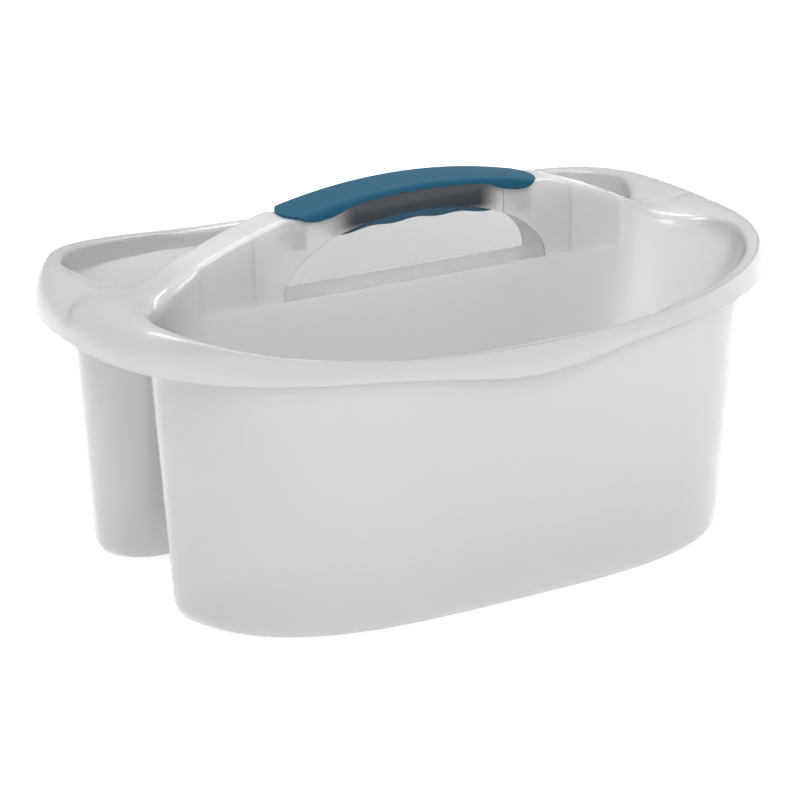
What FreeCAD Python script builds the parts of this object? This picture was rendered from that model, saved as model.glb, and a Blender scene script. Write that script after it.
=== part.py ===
"""Divided cleaning caddy: a two-compartment tub with an arched carry handle, and a two-piece soft grip.

X runs along the handle, Y across it, +Z up.  The origin is on the floor, midway between the two feet.
"""

import FreeCAD
import Part

import math
import os

import Sketcher

DRIVING_SIZES = {
    # rim: an arched oval collar that turns down all round into a skirt
    "rim_half_length": 205.0,
    "rim_half_width": 135.9,
    "rim_low_height": 142.6,
    "rim_end_rise": 4.0,
    "rim_dip": 9.6,
    "rim_dip_half_length": 85.0,
    "rim_corner_radius": 118.0,
    "flare_at_end": 15.4,
    "flare_at_side": 0.5,
    "crest_middle_height": 150.6,
    "crest_end_height": 169.4,
    "crest_corner_radius": 97.0,
    # compartments: two D-shaped wells, back to back
    "wall": 2.0,
    "mouth_at_end": 10.6,
    "mouth_at_side": 6.8,
    "neck_height": 136.0,
    "draft_at_end": 7.6,
    "draft_at_side": 4.1,
    "end_radius": 900.0,
    "side_radius": 840.0,
    "corner_radius": 88.0,
    "foot_round": 7.0,
    # channel between the compartments, open from below
    "channel_low_half_width": 24.0,
    "channel_top_half_width": 12.0,
    "inner_corner_low": 27.0,
    "inner_corner_top": 38.0,
    # handle: a hollow arch that grows out of the divider
    "handle_top": 205.5,
    "handle_sink": 1.3,
    "landing_length": 27.6,
    "panel_end": 29.0,
    "ledge_height": 150.0,
    "ledge_width": 2.0,
    "hand_half_length": 83.0,
    "hand_depth": 16.5,
    "rib_inset": 33.0,
    "rib_wall": 1.8,
    # grip: a cover clipped on top and an insert under the arch
    "cover_half_length": 79.7,
    "cover_half_width": 15.4,
    "cover_wall": 2.0,
    "cover_skirt": 4.6,
    "cover_tab": 7.2,
    "cover_tab_length": 29.7,
    "cover_tab_round": 4.5,
    "leg_inset": 9.7,
    "leg_half_spacing": 6.5,
    "leg_length": 8.0,
    "leg_width": 2.0,
    "leg_drop": 17.0,
    "leg_barb": 1.2,
    "insert_half_length": 52.0,
    "insert_depth": 20.9,
    "insert_floor_drop": 3.2,
    "insert_wall": 2.4,
    "finger_pitch": 24.0,
    "finger_wave": 1.3,
    "post_place": 30.0,
    "post_radius": 3.0,
    "clearance": 0.3,
}

FOOT_ANGLES = (0, 30, 60, 90)
FINGERS = 4
TOUCH = 1e-3
Z_AXIS = FreeCAD.Vector(0, 0, 1)


def make_sheet(doc):
    """Put every driving size in the sheet, one aliased cell to a row."""
    sheet = doc.addObject("Spreadsheet::Sheet", "Sizes")
    for row, (alias, value) in enumerate(DRIVING_SIZES.items(), start=1):
        sheet.set(f"A{row}", alias.replace("_", " "))
        sheet.set(f"B{row}", str(value))
        sheet.setAlias(f"B{row}", alias)
    doc.recompute()
    return sheet


def size(doc, expression):
    """The value, in millimetres, of an expression on the sheet's cells."""
    return float(doc.Sizes.evalExpression(expression))


def arc_radius(length, rise):
    """Expression for the radius of an arc, level at its start, that rises by one size over another."""
    return f"(({length})^2 + ({rise})^2) / 2 / ({rise})"


def between(low, high, height):
    """Expression for a size at a height, on the straight line through two (size, height) pairs."""
    (size_low, height_low), (size_high, height_high) = low, high
    share = f"({height} - {height_low}) / ({height_high} - {height_low})"
    return f"({size_low} + ({size_high} - {size_low}) * {share})"


# What follows from the driving sizes: the oval outlines, from the rim inwards and down to the floor.
CREST_LENGTH = "(Sizes.rim_half_length - Sizes.flare_at_end)"
CREST_WIDTH = "(Sizes.rim_half_width - Sizes.flare_at_side)"
NECK_LENGTH = f"({CREST_LENGTH} - Sizes.mouth_at_end)"
NECK_WIDTH = f"({CREST_WIDTH} - Sizes.mouth_at_side)"
FLOOR_LENGTH = f"({NECK_LENGTH} - Sizes.draft_at_end)"
FLOOR_WIDTH = f"({NECK_WIDTH} - Sizes.draft_at_side)"
CREST_RADIUS = f"({arc_radius(CREST_LENGTH, '(Sizes.crest_end_height - Sizes.crest_middle_height)')})"
REACH = "(2 * Sizes.rim_half_length)"

# The lofts start below the skirt and end above the crest, and the arch trims them.
TOP = "Sizes.handle_top"
LOW = "(Sizes.rim_low_height - Sizes.rim_dip - 4 * Sizes.wall)"
HIGH = "(Sizes.crest_end_height + 4 * Sizes.wall)"

# The handle: concentric arcs through its top, its cover's seat and its roof.
HANDLE_HALF = f"({CREST_LENGTH} - Sizes.landing_length)"
PANEL_HALF = f"({HANDLE_HALF} - Sizes.panel_end)"
DIVIDER_HALF = "(Sizes.channel_top_half_width + Sizes.ledge_width)"
HOLLOW_HALF = "(Sizes.channel_top_half_width - Sizes.wall)"
BLOCK_LOW = "(Sizes.ledge_height - 2 * Sizes.wall)"


def on_crest(place):
    """Expression for the height of the rim's arched top at a distance from the middle."""
    return f"(Sizes.crest_middle_height + {CREST_RADIUS} - sqrt({CREST_RADIUS}^2 - ({place})^2))"


HANDLE_RISE = f"({TOP} + Sizes.handle_sink - {on_crest(HANDLE_HALF)})"
HANDLE_RADIUS = f"({arc_radius(HANDLE_HALF, HANDLE_RISE)})"
HANDLE_CENTRE = f"({TOP} - {HANDLE_RADIUS})"
SEAT_RADIUS = f"({HANDLE_RADIUS} - Sizes.cover_wall)"
ROOF_RADIUS = f"({SEAT_RADIUS} - Sizes.wall)"
LEG_PLACE = "(Sizes.cover_half_length - Sizes.leg_inset)"
LEG_START = f"({LEG_PLACE} - Sizes.leg_length / 2)"
LEG_END = f"({LEG_PLACE} + Sizes.leg_length)"
TAB_START = "(Sizes.cover_half_length - Sizes.cover_tab_length)"
INSERT_FLOOR = f"({TOP} - Sizes.insert_depth)"


def on_arc(radius, place):
    """Expression for the height of one of the handle's concentric arcs at a distance from the middle."""
    return f"{HANDLE_CENTRE} + sqrt(({radius})^2 - ({place})^2)"


def origin_plane(body, role):
    """One of a body's own origin planes, found by its role."""
    return next(item for item in body.Origin.OriginFeatures if item.Role == role)


class Outline:
    """A closed sketch of lines and arcs, each of its sizes bound to the sheet."""

    def __init__(self, body, name, role="XY_Plane", offset=None):
        self.doc = body.Document
        self.sketch = body.newObject("Sketcher::SketchObject", name)
        self.sketch.AttachmentSupport = (origin_plane(body, role), [""])
        self.sketch.MapMode = "FlatFace"
        if offset:
            self.sketch.setExpression("AttachmentOffset.Base.z", offset)
            self.doc.recompute()

    def value(self, expression):
        return size(self.doc, expression)

    def line(self, start, end):
        """Add a line between two points given as pairs of expressions."""
        ends = [FreeCAD.Vector(self.value(x), self.value(y), 0) for x, y in (start, end)]
        return self.sketch.addGeometry(Part.LineSegment(*ends), False)

    def arc(self, centre, radius, start, end):
        """Add an arc, anticlockwise between two angles in radians, and bind its radius."""
        middle = FreeCAD.Vector(*centre, 0)
        circle = Part.Circle(middle, Z_AXIS, self.value(radius))
        index = self.sketch.addGeometry(Part.ArcOfCircle(circle, start, end), False)
        self.bind("Radius", (index,), self.value(radius), radius)
        return index

    def bind(self, kind, where, value, expression):
        """Add a dimension and tie it to the sheet."""
        number = self.sketch.addConstraint(Sketcher.Constraint(kind, *where, value))
        self.sketch.setExpression(f"Constraints[{number}]", expression)

    def place(self, index, point, x=None, y=None):
        """Fix a point's X or Y from the sketch's origin, or both."""
        for kind, axis, expression in (("DistanceX", -2, x), ("DistanceY", -1, y)):
            if expression is None:
                continue
            value = self.value(expression)
            if abs(value) < 1e-9:
                self.sketch.addConstraint(Sketcher.Constraint("PointOnObject", index, point, axis))
            elif value > 0:
                self.bind(kind, (-1, 1, index, point), value, expression)
            else:
                self.bind(kind, (index, point, -1, 1), -value, f"-({expression})")

    def join(self, kind, first, first_end, second, second_end):
        """Make two ends meet, with a corner (Coincident) or smoothly (Tangent)."""
        ends = (first, first_end, second, second_end)
        self.sketch.addConstraint(Sketcher.Constraint(kind, *ends))

    def polygon(self, corners):
        """Add a closed chain of lines through corners given as pairs of expressions."""
        sides = [self.line(a, b) for a, b in zip(corners, corners[1:] + corners[:1])]
        for side, following in zip(sides, sides[1:] + sides[:1]):
            self.join("Coincident", side, 2, following, 1)
        for side, (x, y) in zip(sides, corners):
            self.place(side, 1, x, y)
        return sides


def corner_centre(length, width, end, side, corner):
    """Centre of the corner arc that runs smoothly into an oval's end arc and side arc."""
    side_y = width - side
    end_x = length - end
    reach = math.hypot(end_x, side_y)
    along = ((side - corner) ** 2 - (end - corner) ** 2 + reach**2) / (2 * reach)
    across = math.sqrt((side - corner) ** 2 - along**2)
    ux, uy = end_x / reach, -side_y / reach
    centres = [(ux * along + k * uy * across, side_y + uy * along - k * ux * across) for k in (-1, 1)]
    return max(centres)


def bearing(start, end):
    """Angle of the way from one point to another, in radians."""
    return math.atan2(end[1] - start[1], end[0] - start[0])


def oval(body, name, offset, length, width, end, side, corner):
    """An oval of eight arcs: large ones at its ends and sides and a smaller one at each corner."""
    out = Outline(body, name, offset=offset)
    a, b, r_end, r_side, r_corner = map(out.value, (length, width, end, side, corner))
    cx, cy = corner_centre(a, b, r_end, r_side, r_corner)
    low = bearing((a - r_end, 0), (cx, cy))
    high = bearing((0, b - r_side), (cx, cy))
    turn = math.pi
    arcs = [
        out.arc((a - r_end, 0), end, -low, low),
        out.arc((cx, cy), corner, low, high),
        out.arc((0, b - r_side), side, high, turn - high),
        out.arc((-cx, cy), corner, turn - high, turn - low),
        out.arc((r_end - a, 0), end, turn - low, turn + low),
        out.arc((-cx, -cy), corner, turn + low, turn + high),
        out.arc((0, r_side - b), side, turn + high, -high),
        out.arc((cx, -cy), corner, -high, -low),
    ]
    for arc, following in zip(arcs, arcs[1:] + arcs[:1]):
        out.join("Tangent", arc, 2, following, 1)
    out.place(arcs[0], 3, f"({length}) - ({end})", "0")
    out.place(arcs[2], 3, "0", f"({width}) - ({side})")
    out.place(arcs[4], 3, f"({end}) - ({length})", "0")
    out.place(arcs[6], 3, "0", f"({side}) - ({width})")
    return out.sketch


def well(body, name, offset, length, width, corner, gap, inner, inset):
    """The D-shaped outline of one compartment: a flat side, a bowed side and four rounded corners.

    The inset moves the whole outline inwards.
    """
    length, width, corner, inner = (f"({item} - {inset})" for item in (length, width, corner, inner))
    gap = f"({gap} + {inset})"
    side = f"(Sizes.side_radius - {inset})"
    out = Outline(body, name, offset=offset)
    a, b, flat, r_inner, r_side, r_corner = map(out.value, (length, width, gap, inner, side, corner))
    cx = a - r_corner
    cy = b - r_side + math.sqrt((r_side - r_corner) ** 2 - cx**2)
    iy = flat + r_inner
    ix = cx + math.sqrt((r_corner - r_inner) ** 2 - (iy - cy) ** 2)
    start = bearing((cx, cy), (ix, iy))
    high = bearing((0, b - r_side), (cx, cy))
    turn = math.pi
    down = -turn / 2
    chain = [
        out.sketch.addGeometry(Part.LineSegment(FreeCAD.Vector(-ix, flat), FreeCAD.Vector(ix, flat)), False),
        out.arc((ix, iy), inner, down, start),
        out.arc((cx, cy), corner, start, high),
        out.arc((0, b - r_side), side, high, turn - high),
        out.arc((-cx, cy), corner, turn - high, turn - start),
        out.arc((-ix, iy), inner, turn - start, turn - down),
    ]
    for piece, following in zip(chain, chain[1:] + chain[:1]):
        out.join("Tangent", piece, 2, following, 1)
    out.sketch.addConstraint(Sketcher.Constraint("Horizontal", chain[0]))
    out.place(chain[0], 1, y=gap)
    out.place(chain[2], 3, f"{length} - {corner}")
    out.place(chain[3], 3, "0", f"{width} - {side}")
    out.place(chain[4], 3, f"{corner} - {length}")
    return out.sketch


def new_body(doc, label):
    body = doc.addObject("PartDesign::Body", label)
    body.Label = label
    doc.recompute()
    return body


def loft(body, name, sections):
    """A straight-sided solid through a body's own sections."""
    feature = body.newObject("PartDesign::AdditiveLoft", name)
    feature.Profile = sections[0]
    feature.Sections = sections[1:]
    feature.Ruled = True
    body.Document.recompute()
    return feature


def pad(body, name, sketch, width):
    """A pad as wide as an expression says, half to each side of its sketch."""
    feature = body.newObject("PartDesign::Pad", name)
    feature.Profile = sketch
    feature.SideType = "Symmetric"
    feature.setExpression("Length", width)
    body.Document.recompute()
    return feature


def pocket(body, name, sketch, width):
    """A pocket as wide as an expression says, half to each side of its sketch."""
    before = body.Shape.Volume
    feature = body.newObject("PartDesign::Pocket", name)
    feature.Profile = sketch
    feature.SideType = "Symmetric"
    feature.setExpression("Length", width)
    body.Document.recompute()
    if not body.Shape.Volume < before:
        raise RuntimeError(f"{name} cuts nothing")
    return feature


def fillet(body, name, base, edges, radius):
    feature = body.newObject("PartDesign::Fillet", name)
    feature.Base = (base, edges)
    feature.setExpression("Radius", radius)
    body.Document.recompute()
    return feature


def edges_where(feature, test):
    """Names of a feature's edges whose two ends and middle all pass a test."""
    names = []
    for number, edge in enumerate(feature.Shape.Edges, start=1):
        middle = edge.valueAt((edge.FirstParameter + edge.LastParameter) / 2)
        points = [vertex.Point for vertex in edge.Vertexes] + [middle]
        if all(test(point) for point in points):
            names.append(f"Edge{number}")
    return names


def rim_solid(doc, label, shrink):
    """The rim's flared oval, or with a shrink, the space inside its skirt."""
    body = new_body(doc, label)
    low_end = "(Sizes.rim_low_height + Sizes.rim_end_rise)"
    length_pair = ("Sizes.rim_half_length", low_end), (CREST_LENGTH, "Sizes.crest_end_height")
    width_pair = ("Sizes.rim_half_width", "Sizes.rim_low_height"), (CREST_WIDTH, "Sizes.crest_middle_height")
    sections = []
    corners = "Sizes.rim_corner_radius", "Sizes.crest_corner_radius"
    for name, height, corner in zip(("Low", "High"), (LOW, HIGH), corners):
        sketch = oval(
            body,
            f"{label}{name}",
            height,
            f"{between(*length_pair, height)} - ({shrink})",
            f"{between(*width_pair, height)} - ({shrink})",
            f"Sizes.end_radius - ({shrink})",
            f"Sizes.side_radius - ({shrink})",
            f"{corner} - ({shrink})",
        )
        sections.append(sketch)
    loft(body, f"{label}Loft", sections)
    return body


def arch_solid(doc, label, drop, floor):
    """What lies between a level floor and the rim's arched top, or so far below it as the drop says."""
    body = new_body(doc, label)
    out = Outline(body, f"{label}Profile", "XZ_Plane")
    reach = REACH
    end_height = f"({on_crest(reach)} - {drop})"
    radius = out.value(CREST_RADIUS)
    spread = math.asin(out.value(reach) / radius)
    centre_z = f"(Sizes.crest_middle_height + {CREST_RADIUS} - ({drop}))"
    top = out.arc((0, out.value(centre_z)), CREST_RADIUS, -math.pi / 2 - spread, -math.pi / 2 + spread)
    out.place(top, 3, "0", centre_z)
    out.place(top, 1, f"-{reach}")
    out.place(top, 2, reach)
    corners = [(f"-{reach}", end_height), (f"-{reach}", floor), (reach, floor), (reach, end_height)]
    lines = [out.line(a, b) for a, b in zip(corners, corners[1:])]
    for line, following in zip(lines, lines[1:]):
        out.join("Coincident", line, 2, following, 1)
    out.join("Coincident", top, 1, lines[0], 1)
    out.join("Coincident", lines[2], 2, top, 2)
    out.place(lines[1], 1, f"-{reach}", floor)
    out.place(lines[1], 2, reach, floor)
    pad(body, f"{label}Pad", out.sketch, "4 * Sizes.rim_half_width")
    return body


def close_with_lines(out, chain_start, chain_end, corners):
    """Close an arc chain with straight lines through corners, and fix the corners."""
    start, end = chain_start, chain_end
    points = [end[2], *corners, start[2]]
    lines = [out.line(a, b) for a, b in zip(points, points[1:])]
    for line, following in zip(lines, lines[1:]):
        out.join("Coincident", line, 2, following, 1)
    out.join("Coincident", end[0], end[1], lines[0], 1)
    out.join("Coincident", lines[-1], 2, start[0], start[1])
    for line, (x, y) in zip(lines[1:], corners):
        out.place(line, 1, x, y)
    return lines


def skirt_trim(doc, label):
    """What lies under the skirt's lower edge, which dips smoothly at the middle of each long side."""
    body = new_body(doc, label)
    out = Outline(body, f"{label}Profile", "XZ_Plane")
    reach = REACH
    half = "Sizes.rim_dip_half_length"
    bend = arc_radius(f"{half} / 2", "Sizes.rim_dip / 2")
    end_radius = arc_radius(f"Sizes.rim_half_length - {half}", "Sizes.rim_end_rise")
    w, low, r_bend, r_end, far = map(out.value, (half, "Sizes.rim_low_height", bend, end_radius, reach))
    turn = math.asin(w / 2 / r_bend)
    slope = math.asin((far - w) / r_end)
    down, up = -math.pi / 2, math.pi / 2
    left = out.arc((-w, low + r_end), end_radius, down - slope, down)
    left_shoulder = out.arc((-w, low - r_bend), bend, up - turn, up)
    dip = out.arc((0, low - out.value("Sizes.rim_dip") + r_bend), bend, down - turn, down + turn)
    right_shoulder = out.arc((w, low - r_bend), bend, up, up + turn)
    right = out.arc((w, low + r_end), end_radius, down, down + slope)
    out.join("Tangent", left, 2, left_shoulder, 2)
    out.join("Tangent", left_shoulder, 1, dip, 1)
    out.join("Tangent", dip, 2, right_shoulder, 2)
    out.join("Tangent", right_shoulder, 1, right, 1)
    out.place(dip, 3, "0", f"Sizes.rim_low_height - Sizes.rim_dip + {bend}")
    for arc, x in ((left, f"-{half}"), (left_shoulder, f"-{half}"), (right_shoulder, half), (right, half)):
        out.place(arc, 3, x)
    out.place(left, 1, f"-{reach}")
    out.place(right, 2, reach)
    end_height = f"(Sizes.rim_low_height + {end_radius} - sqrt(({end_radius})^2 - ({reach} - {half})^2))"
    floor = f"({LOW} - Sizes.neck_height)"
    start = (left, 1, (f"-{reach}", end_height))
    end = (right, 2, (reach, end_height))
    close_with_lines(out, start, end, [(reach, floor), (f"-{reach}", floor)])
    pad(body, f"{label}Pad", out.sketch, "4 * Sizes.rim_half_width")
    return body


def well_solid(doc, label, shrink):
    """One compartment as a solid: its outer form, or with a shrink, the space inside its wall.

    Its sections climb round the foot, then run straight to the neck and flare to the mouth.
    """
    body = new_body(doc, label)
    neck_length, neck_width = ((item, "Sizes.neck_height") for item in (NECK_LENGTH, NECK_WIDTH))
    mouth = (
        between(neck_length, (CREST_LENGTH, "Sizes.crest_end_height"), HIGH),
        between(neck_width, (CREST_WIDTH, "Sizes.crest_middle_height"), HIGH),
    )
    low_inside = "Sizes.channel_low_half_width", "Sizes.inner_corner_low"
    foot = FLOOR_LENGTH, FLOOR_WIDTH, "Sizes.corner_radius", *low_inside
    upper = "Sizes.channel_top_half_width", "Sizes.inner_corner_top"
    rounding = f"(Sizes.foot_round - {shrink})"
    rows = []
    for angle in FOOT_ANGLES:
        inset = f"({shrink} + {rounding} * (1 - sin({angle} deg)))"
        height = f"({shrink} + {rounding} * (1 - cos({angle} deg)))"
        rows.append((f"Foot{angle}", height, foot, inset))
    neck = NECK_LENGTH, NECK_WIDTH, "Sizes.corner_radius", *upper
    rows.append(("Neck", "Sizes.neck_height", neck, shrink))
    rows.append(("Mouth", HIGH, (*mouth, "Sizes.crest_corner_radius", *upper), shrink))
    sections = [well(body, label + name, height, *outline, inset) for name, height, outline, inset in rows]
    loft(body, f"{label}Loft", sections)
    return body


def handle_block(doc):
    """The handle and the top of the divider as a full block, before it is hollowed."""
    body = new_body(doc, "HandleBlock")
    out = Outline(body, "HandleProfile", "XZ_Plane")
    end = HANDLE_HALF
    elbow = f"({PANEL_HALF} + 4 * Sizes.wall)"
    radius = HANDLE_RADIUS
    spread = math.asin(out.value(end) / out.value(radius))
    top = out.arc((0, out.value(HANDLE_CENTRE)), radius, math.pi / 2 - spread, math.pi / 2 + spread)
    out.place(top, 3, "0", HANDLE_CENTRE)
    out.place(top, 1, end)
    out.place(top, 2, f"-{end}")
    under = f"({on_crest(end)} - Sizes.wall)"
    top_end = on_arc(radius, end)
    corners = [(f"-{end}", under), (f"-{elbow}", BLOCK_LOW), (elbow, BLOCK_LOW), (end, under)]
    close_with_lines(out, (top, 1, (end, top_end)), (top, 2, (f"-{end}", top_end)), corners)
    pad(body, "HandlePad", out.sketch, f"2 * {DIVIDER_HALF}")
    return body


def handle_hollow(doc):
    """The space inside the handle, open below, with a lower roof where the cover is seated."""
    body = new_body(doc, "HandleHollow")
    out = Outline(body, "HollowProfile", "XZ_Plane")
    end = f"({HANDLE_HALF} - Sizes.wall)"
    step = "(Sizes.cover_half_length + Sizes.clearance + Sizes.wall)"
    high = SEAT_RADIUS
    low = ROOF_RADIUS
    centre = (0, out.value(HANDLE_CENTRE))
    r_high, r_low, x_end, x_step = map(out.value, (high, low, end, step))
    up = math.pi / 2
    right = out.arc(centre, high, up - math.asin(x_end / r_high), up - math.asin(x_step / r_high))
    middle = out.arc(centre, low, up - math.asin(x_step / r_low), up + math.asin(x_step / r_low))
    left = out.arc(centre, high, up + math.asin(x_step / r_high), up + math.asin(x_end / r_high))
    for arc in (right, middle, left):
        out.place(arc, 3, "0", HANDLE_CENTRE)
    out.place(right, 1, end)
    out.place(right, 2, step)
    out.place(middle, 1, step)
    out.place(middle, 2, f"-{step}")
    out.place(left, 1, f"-{step}")
    out.place(left, 2, f"-{end}")
    drop_right = out.line((step, on_arc(high, step)), (step, on_arc(low, step)))
    drop_left = out.line((f"-{step}", on_arc(low, step)), (f"-{step}", on_arc(high, step)))
    for arc, arc_end, line, line_end in (
        (right, 2, drop_right, 1),
        (middle, 1, drop_right, 2),
        (middle, 2, drop_left, 1),
        (left, 1, drop_left, 2),
    ):
        out.join("Coincident", arc, arc_end, line, line_end)
    end_height = on_arc(high, end)
    floor = "Sizes.neck_height"
    start = (right, 1, (end, end_height))
    finish = (left, 2, (f"-{end}", end_height))
    close_with_lines(out, start, finish, [(f"-{end}", floor), (end, floor)])
    pad(body, "HollowPad", out.sketch, f"2 * {HOLLOW_HALF}")
    return body


def handle_ribs(doc):
    """Two upright webs that tie the handle's walls together, one beyond each end of the hand opening."""
    thick = "Sizes.rib_wall / 2"
    place = f"({PANEL_HALF} - Sizes.rib_inset)"
    ribs = []
    for side in (-1, 1):
        low = (f"{side} * {place} - {thick}", f"-{DIVIDER_HALF}", "Sizes.ledge_height")
        high = (f"{side} * {place} + {thick}", DIVIDER_HALF, TOP)
        ribs.append(box(doc, "HandleRib", low, high))
    return combine(doc, "Part::MultiFuse", "HandleRibs", ribs)


def seat_cut(doc):
    """The shallow seat across the handle's top that takes the cover flush."""
    body = new_body(doc, "CoverSeat")
    out = Outline(body, "SeatProfile", "XZ_Plane")
    end = "(Sizes.cover_half_length + Sizes.clearance)"
    spread = math.asin(out.value(end) / out.value(SEAT_RADIUS))
    up = math.pi / 2
    bottom = out.arc((0, out.value(HANDLE_CENTRE)), SEAT_RADIUS, up - spread, up + spread)
    out.place(bottom, 3, "0", HANDLE_CENTRE)
    out.place(bottom, 1, end)
    out.place(bottom, 2, f"-{end}")
    level = on_arc(SEAT_RADIUS, end)
    top = f"({TOP} + Sizes.wall)"
    start = (bottom, 1, (end, level))
    finish = (bottom, 2, (f"-{end}", level))
    close_with_lines(out, start, finish, [(f"-{end}", top), (end, top)])
    pad(body, "SeatPad", out.sketch, "4 * Sizes.cover_half_width")
    return body


def box(doc, label, low, high):
    """A Part box between two corners given as expressions."""
    feature = doc.addObject("Part::Box", label)
    for key, a, b in zip(("Length", "Width", "Height"), low, high):
        feature.setExpression(key, f"({b}) - ({a})")
    for key, a in zip("xyz", low):
        feature.setExpression(f"Placement.Base.{key}", a)
    return feature


def hand_opening(doc):
    """A half ellipse through both walls of the handle, for the hand."""
    ellipse = doc.addObject("Part::Ellipse", "HandEllipse")
    ellipse.setExpression("MajorRadius", "Sizes.hand_half_length")
    ellipse.setExpression("MinorRadius", f"{TOP} - Sizes.hand_depth - Sizes.ledge_height")
    ellipse.Placement = FreeCAD.Placement(FreeCAD.Vector(), FreeCAD.Rotation(FreeCAD.Vector(1, 0, 0), 90))
    ellipse.setExpression("Placement.Base.z", "Sizes.ledge_height")
    prism = doc.addObject("Part::Extrusion", "HandPrism")
    prism.Base = ellipse
    prism.DirMode = "Custom"
    prism.Dir = FreeCAD.Vector(0, 1, 0)
    prism.Solid = True
    prism.Symmetric = True
    prism.setExpression("LengthFwd", f"4 * {DIVIDER_HALF}")
    reach = "(1.5 * Sizes.hand_half_length)"
    above = box(
        doc,
        "HandLimit",
        (f"-{reach}", f"-4 * {DIVIDER_HALF}", "Sizes.ledge_height"),
        (reach, f"4 * {DIVIDER_HALF}", "Sizes.handle_top"),
    )
    opening = doc.addObject("Part::Common", "HandOpening")
    opening.Base = prism
    opening.Tool = above
    return opening


def panel_steps(doc):
    """The shallow steps that leave a ledge along the divider, one to each side."""
    inner = "Sizes.channel_top_half_width"
    outer = f"({DIVIDER_HALF} + Sizes.wall)"
    half = PANEL_HALF
    top = f"({TOP} + Sizes.wall)"
    far = box(doc, "FarStep", (f"-{half}", inner, "Sizes.ledge_height"), (half, outer, top))
    near = box(doc, "NearStep", (f"-{half}", f"-{outer}", "Sizes.ledge_height"), (half, f"-{inner}", top))
    return [far, near]


def grip_holes(doc):
    """Slots for the cover's snap legs and holes for the insert's posts, through the handle's roof."""
    low = f"({on_arc(ROOF_RADIUS, LEG_END)} - Sizes.wall)"
    tools = []
    for side_x in (-1, 1):
        for side_y in (-1, 1):
            x = f"{side_x} * {LEG_PLACE}"
            y = f"{side_y} * Sizes.leg_half_spacing"
            dx = "(Sizes.leg_length / 2 + Sizes.clearance)"
            dy = "(Sizes.leg_width / 2 + Sizes.clearance)"
            corner = (f"{x} - {dx}", f"{y} - {dy}", low)
            tools.append(box(doc, "LegSlot", corner, (f"{x} + {dx}", f"{y} + {dy}", TOP)))
        hole = doc.addObject("Part::Cylinder", "PostHole")
        hole.setExpression("Radius", "Sizes.post_radius + Sizes.clearance")
        hole.setExpression("Height", f"{TOP} - {low}")
        hole.setExpression("Placement.Base.x", f"{side_x} * Sizes.post_place")
        hole.setExpression("Placement.Base.z", low)
        tools.append(hole)
    return tools


def combine(doc, kind, label, shapes):
    feature = doc.addObject(kind, label)
    feature.Shapes = shapes
    doc.recompute()
    return feature


def cut(doc, label, base, tool):
    feature = doc.addObject("Part::Cut", label)
    feature.Base = base
    feature.Tool = tool
    doc.recompute()
    return feature


def mirrored(doc, source, label):
    """A copy of a solid on the other side of the handle."""
    feature = doc.addObject("Part::Mirroring", label)
    feature.Source = source
    feature.Normal = FreeCAD.Vector(0, 1, 0)
    return feature


def make_tub(doc):
    """The tub: two compartments, rim, divider and handle, one moulding with an even wall."""
    no_drop = "0 * Sizes.wall"
    arch = arch_solid(doc, "Arch", no_drop, LOW)
    arch_inside = arch_solid(doc, "ArchInside", "Sizes.wall", f"({LOW} - Sizes.wall)")
    rim_form = combine(doc, "Part::MultiCommon", "RimOutside", [rim_solid(doc, "RimForm", no_drop), arch])
    rim_space = combine(
        doc, "Part::MultiCommon", "RimInside", [rim_solid(doc, "RimSpace", "Sizes.wall"), arch_inside]
    )
    rim_void = combine(doc, "Part::MultiFuse", "RimVoid", [rim_space, skirt_trim(doc, "SkirtTrim")])
    rim = cut(doc, "Rim", rim_form, rim_void)
    well_form = well_solid(doc, "WellForm", no_drop)
    under_crest = arch_solid(doc, "UnderCrest", no_drop, "-1 * Sizes.wall")
    far_form = combine(doc, "Part::MultiCommon", "FarForm", [well_form, under_crest])
    near_form = mirrored(doc, far_form, "NearForm")
    far_space = well_solid(doc, "FarSpace", "Sizes.wall")
    near_space = mirrored(doc, far_space, "NearSpace")
    form = combine(doc, "Part::MultiFuse", "TubForm", [rim, far_form, near_form, handle_block(doc)])
    handle_space = cut(doc, "HandleSpace", handle_hollow(doc), handle_ribs(doc))
    hollows = [far_space, near_space, handle_space, seat_cut(doc), hand_opening(doc)]
    tools = combine(doc, "Part::MultiFuse", "TubSpaces", [*hollows, *panel_steps(doc), *grip_holes(doc)])
    return cut(doc, "tub", form, tools)


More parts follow.
